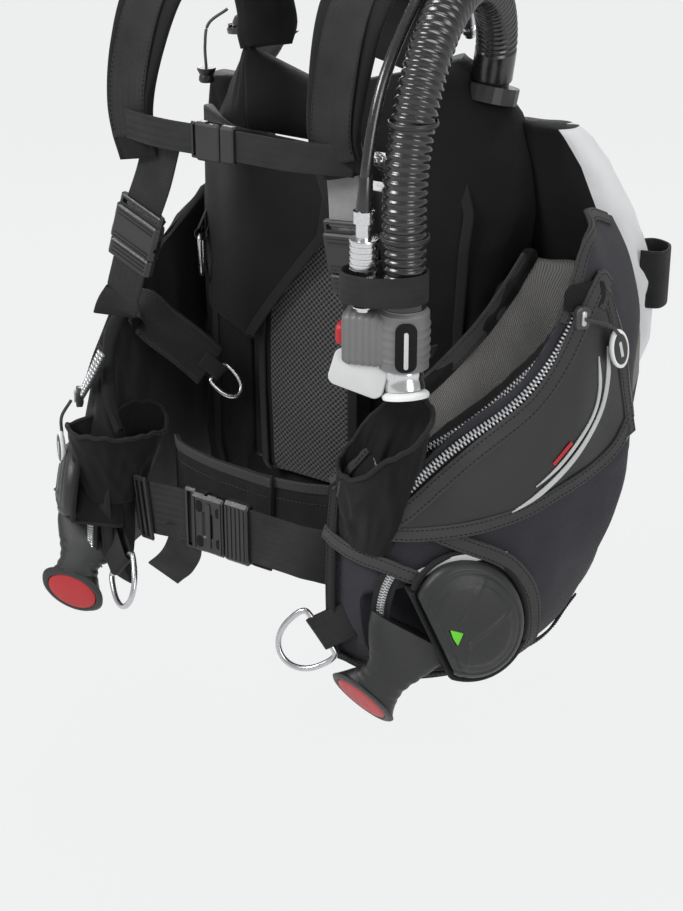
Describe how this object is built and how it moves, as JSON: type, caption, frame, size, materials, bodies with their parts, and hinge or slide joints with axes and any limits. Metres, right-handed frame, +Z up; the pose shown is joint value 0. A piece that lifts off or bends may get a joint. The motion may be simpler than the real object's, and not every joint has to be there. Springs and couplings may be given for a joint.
{
  "type": "buoyancy compensator vest",
  "caption": "Jacket-style diving buoyancy vest with cargo pocket, weight pouches with grips, waist belt, shoulder clips, tank band and oral inflator hose.",
  "frame": {"origin": "centre of the flat tank seat on the rear face of the back plate", "axes": "+Z up along the wearer's spine, -Y out of the wearer's chest, +X toward the wearer's left, +Y out of the tank seat"},
  "size_m": [0.5283, 0.4431, 0.6187],
  "materials": {
    "back_pad": "grey spacer mesh",
    "back_plate": "black acetal",
    "belt_left": "black nylon",
    "belt_right": "black nylon",
    "belt_slide": "black acetal",
    "cam_frame": "black acetal",
    "cam_lever": "black acetal",
    "cargo_pocket_left": "charcoal coated weave",
    "carry_handle": "black acetal",
    "chest_ring_right": "satin stainless steel",
    "collar": "black nylon",
    "connector_collar": "satin stainless steel",
    "cummerbund_left": "black nylon",
    "cummerbund_right": "black nylon",
    "deflate_button": "light grey lever",
    "dump_knob": "black acetal",
    "gusset_pocket_left": "black nylon",
    "gusset_pocket_right": "black nylon",
    "hip_ring_left": "satin stainless steel",
    "hip_ring_right": "satin stainless steel",
    "hose_elbow": "black acetal",
    "hose_strap": "black nylon",
    "inflate_button": "red button",
    "inflator_body": "mid grey housing",
    "inflator_hose": "moulded hose rubber",
    "lobe_left": "charcoal coated weave",
    "lobe_right": "black nylon",
    "lower_web_left": "black nylon",
    "lower_web_right": "black nylon",
    "lp_connector": "satin stainless steel",
    "lp_hose": "moulded hose rubber",
    "pocket_cover_left": "fine-grained rubber",
    "pocket_cover_right": "fine-grained rubber",
    "pocket_flap_left": "smooth rubberised panel",
    "rear_dump": "black acetal",
    "shoulder_buckle_left": "black acetal",
    "shoulder_buckle_right": "black acetal",
    "shoulder_clip_left": "black acetal",
    "shoulder_clip_right": "black acetal",
    "shoulder_dump": "black acetal",
    "shoulder_strap_left": "black nylon",
    "shoulder_strap_right": "black nylon",
    "sternum_buckle": "black acetal",
    "sternum_clip": "black acetal",
    "sternum_web_left": "black nylon",
    "strap_ring_right": "satin stainless steel",
    "tank_band": "black nylon",
    "upper_band": "black nylon",
    "waist_buckle": "black acetal",
    "waist_clip": "black acetal",
    "weight_grip_left": "fine-grained rubber",
    "weight_grip_right": "fine-grained rubber",
    "weight_pouch_left": "black nylon",
    "weight_pouch_right": "black nylon",
    "wing_left": "black nylon",
    "wing_right": "black nylon",
    "zip_slider_left": "black acetal",
    "zip_slider_right": "black acetal",
    "zip_tag_left": "black acetal",
    "zip_tag_right": "black acetal"
  },
  "bodies": {
    "vest": {"back_pad": "back_pad", "back_plate": "back_plate", "belt_left": "belt_left", "belt_right": "belt_right", "belt_slide": "belt_slide", "cam_frame": "cam_frame", "cargo_pocket_left": "cargo_pocket_left", "collar": "collar", "cummerbund_left": "cummerbund_left", "cummerbund_right": "cummerbund_right", "gusset_pocket_left": "gusset_pocket_left", "gusset_pocket_right": "gusset_pocket_right", "hose_elbow": "hose_elbow", "hose_strap": "hose_strap", "inflator_body": "inflator_body", "inflator_hose": "inflator_hose", "lobe_left": "lobe_left", "lobe_right": "lobe_right", "lower_web_left": "lower_web_left", "lower_web_right": "lower_web_right", "lp_connector": "lp_connector", "lp_hose": "lp_hose", "pocket_cover_left": "pocket_cover_left", "pocket_cover_right": "pocket_cover_right", "pocket_flap_left": "pocket_flap_left", "rear_dump": "rear_dump", "shoulder_buckle_left": "shoulder_buckle_left", "shoulder_buckle_right": "shoulder_buckle_right", "shoulder_dump": "shoulder_dump", "shoulder_strap_left": "shoulder_strap_left", "shoulder_strap_right": "shoulder_strap_right", "sternum_buckle": "sternum_buckle", "sternum_web_left": "sternum_web_left", "tank_band": "tank_band", "upper_band": "upper_band", "waist_buckle": "waist_buckle", "wing_left": "wing_left", "wing_right": "wing_right"},
    "pouch_left": {"weight_pouch_left": "weight_pouch_left"},
    "grip_left": {"weight_grip_left": "weight_grip_left"},
    "pouch_right": {"weight_pouch_right": "weight_pouch_right"},
    "grip_right": {"weight_grip_right": "weight_grip_right"},
    "waist_clip": {"waist_clip": "waist_clip"},
    "shoulder_clip_left": {"shoulder_clip_left": "shoulder_clip_left"},
    "shoulder_clip_right": {"shoulder_clip_right": "shoulder_clip_right"},
    "sternum_clip": {"sternum_clip": "sternum_clip"},
    "hip_ring_left": {"hip_ring_left": "hip_ring_left"},
    "hip_ring_right": {"hip_ring_right": "hip_ring_right"},
    "chest_ring_right": {"chest_ring_right": "chest_ring_right"},
    "strap_ring_right": {"strap_ring_right": "strap_ring_right"},
    "zip_slider_left": {"zip_slider_left": "zip_slider_left"},
    "zip_tag_left": {"zip_tag_left": "zip_tag_left"},
    "zip_slider_right": {"zip_slider_right": "zip_slider_right"},
    "zip_tag_right": {"zip_tag_right": "zip_tag_right"},
    "inflate_button": {"inflate_button": "inflate_button"},
    "deflate_button": {"deflate_button": "deflate_button"},
    "connector_collar": {"connector_collar": "connector_collar"},
    "dump_knob": {"dump_knob": "dump_knob"},
    "cam_lever": {"cam_lever": "cam_lever"},
    "carry_handle": {"carry_handle": "carry_handle"}
  },
  "joints": [
    {"name": "weight_pouch_left_out", "type": "slide", "parent": "vest", "child": "pouch_left", "axis": [-0.5943, -0.6999, -0.3962], "range_m": [0, 0.11]},
    {"name": "weight_grip_left_latch", "type": "slide", "parent": "pouch_left", "child": "grip_left", "axis": [-0.5943, -0.6999, -0.3962], "range_m": [0, 0.006], "stiffness_N_per_m": 1500, "springref_m": -0.003},
    {"name": "weight_pouch_right_out", "type": "slide", "parent": "vest", "child": "pouch_right", "axis": [0.1001, -0.3505, -0.9312], "range_m": [0, 0.11]},
    {"name": "weight_grip_right_latch", "type": "slide", "parent": "pouch_right", "child": "grip_right", "axis": [0.1001, -0.3505, -0.9312], "range_m": [0, 0.006], "stiffness_N_per_m": 1500, "springref_m": -0.003},
    {"name": "waist_clip_release", "type": "slide", "parent": "vest", "child": "waist_clip", "axis": [1, 0, 0], "range_m": [0, 0.03], "deforming": ["belt_left"]},
    {"name": "shoulder_clip_left_release", "type": "slide", "parent": "vest", "child": "shoulder_clip_left", "axis": [0.0958, 0.0958, -0.9908], "range_m": [0, 0.026], "deforming": ["lower_web_left"]},
    {"name": "shoulder_clip_right_release", "type": "slide", "parent": "vest", "child": "shoulder_clip_right", "axis": [-0.3703, 0.0771, -0.9257], "range_m": [0, 0.026], "deforming": ["lower_web_right"]},
    {"name": "sternum_clip_release", "type": "slide", "parent": "vest", "child": "sternum_clip", "axis": [1, 0, 0], "range_m": [0, 0.02], "deforming": ["sternum_web_left"]},
    {"name": "hip_ring_left_swing", "type": "hinge", "parent": "vest", "child": "hip_ring_left", "pos_m": [0.118, -0.193, -0.2], "axis": [0.6597, 0.05, -0.7499], "range_deg": [-35, 35]},
    {"name": "hip_ring_right_swing", "type": "hinge", "parent": "vest", "child": "hip_ring_right", "pos_m": [-0.108, -0.188, -0.204], "axis": [-0.6597, 0.05, -0.7499], "range_deg": [-30, 30]},
    {"name": "chest_ring_right_swing", "type": "hinge", "parent": "vest", "child": "chest_ring_right", "pos_m": [-0.146, -0.014, 0.058], "axis": [0.5708, -0.8211, 0], "range_deg": [-15, 15]},
    {"name": "strap_ring_right_swing", "type": "hinge", "parent": "vest", "child": "strap_ring_right", "pos_m": [-0.094, -0.059, -0.056], "axis": [0.1034, 0.879, 0.4654], "range_deg": [-35, 35]},
    {"name": "zip_left_run", "type": "slide", "parent": "vest", "child": "zip_slider_left", "axis": [-0.17, -0.255, -0.9519], "range_m": [0, 0.015]},
    {"name": "zip_tag_left_swing", "type": "hinge", "parent": "zip_slider_left", "child": "zip_tag_left", "pos_m": [0.2935, -0.078, 0.084], "axis": [0.9854, -0.1701, 0], "range_deg": [-12, 12]},
    {"name": "zip_right_run", "type": "slide", "parent": "vest", "child": "zip_slider_right", "axis": [-0.3495, 0.799, 0.4894], "range_m": [0, 0.007]},
    {"name": "zip_tag_right_swing", "type": "hinge", "parent": "zip_slider_right", "child": "zip_tag_right", "pos_m": [-0.18, -0.166, -0.072], "axis": [-0.507, -0.8619, 0], "range_deg": [-12, 0]},
    {"name": "inflate_button_press", "type": "slide", "parent": "vest", "child": "inflate_button", "axis": [0.944, 0.33, 0], "range_m": [0, 0.003], "stiffness_N_per_m": 900, "springref_m": -0.0006},
    {"name": "deflate_button_press", "type": "slide", "parent": "vest", "child": "deflate_button", "axis": [0.944, 0.33, 0], "range_m": [0, 0.002], "stiffness_N_per_m": 900, "springref_m": -0.0006},
    {"name": "connector_collar_pull", "type": "slide", "parent": "vest", "child": "connector_collar", "axis": [0, 0, 1], "range_m": [0, 0.005], "stiffness_N_per_m": 900, "springref_m": -0.001},
    {"name": "dump_knob_pull", "type": "slide", "parent": "vest", "child": "dump_knob", "axis": [0, 0, -1], "range_m": [0, 0.012], "stiffness_N_per_m": 150, "springref_m": -0.003},
    {"name": "cam_lever_open", "type": "hinge", "parent": "vest", "child": "cam_lever", "pos_m": [-0.014, 0.2194, -0.012], "axis": [0, 0, 1], "range_deg": [0, 110]},
    {"name": "carry_handle_fold", "type": "hinge", "parent": "vest", "child": "carry_handle", "pos_m": [0, 0.005, 0.135], "axis": [1, 0, 0], "range_deg": [-45, 0]}
  ]
}
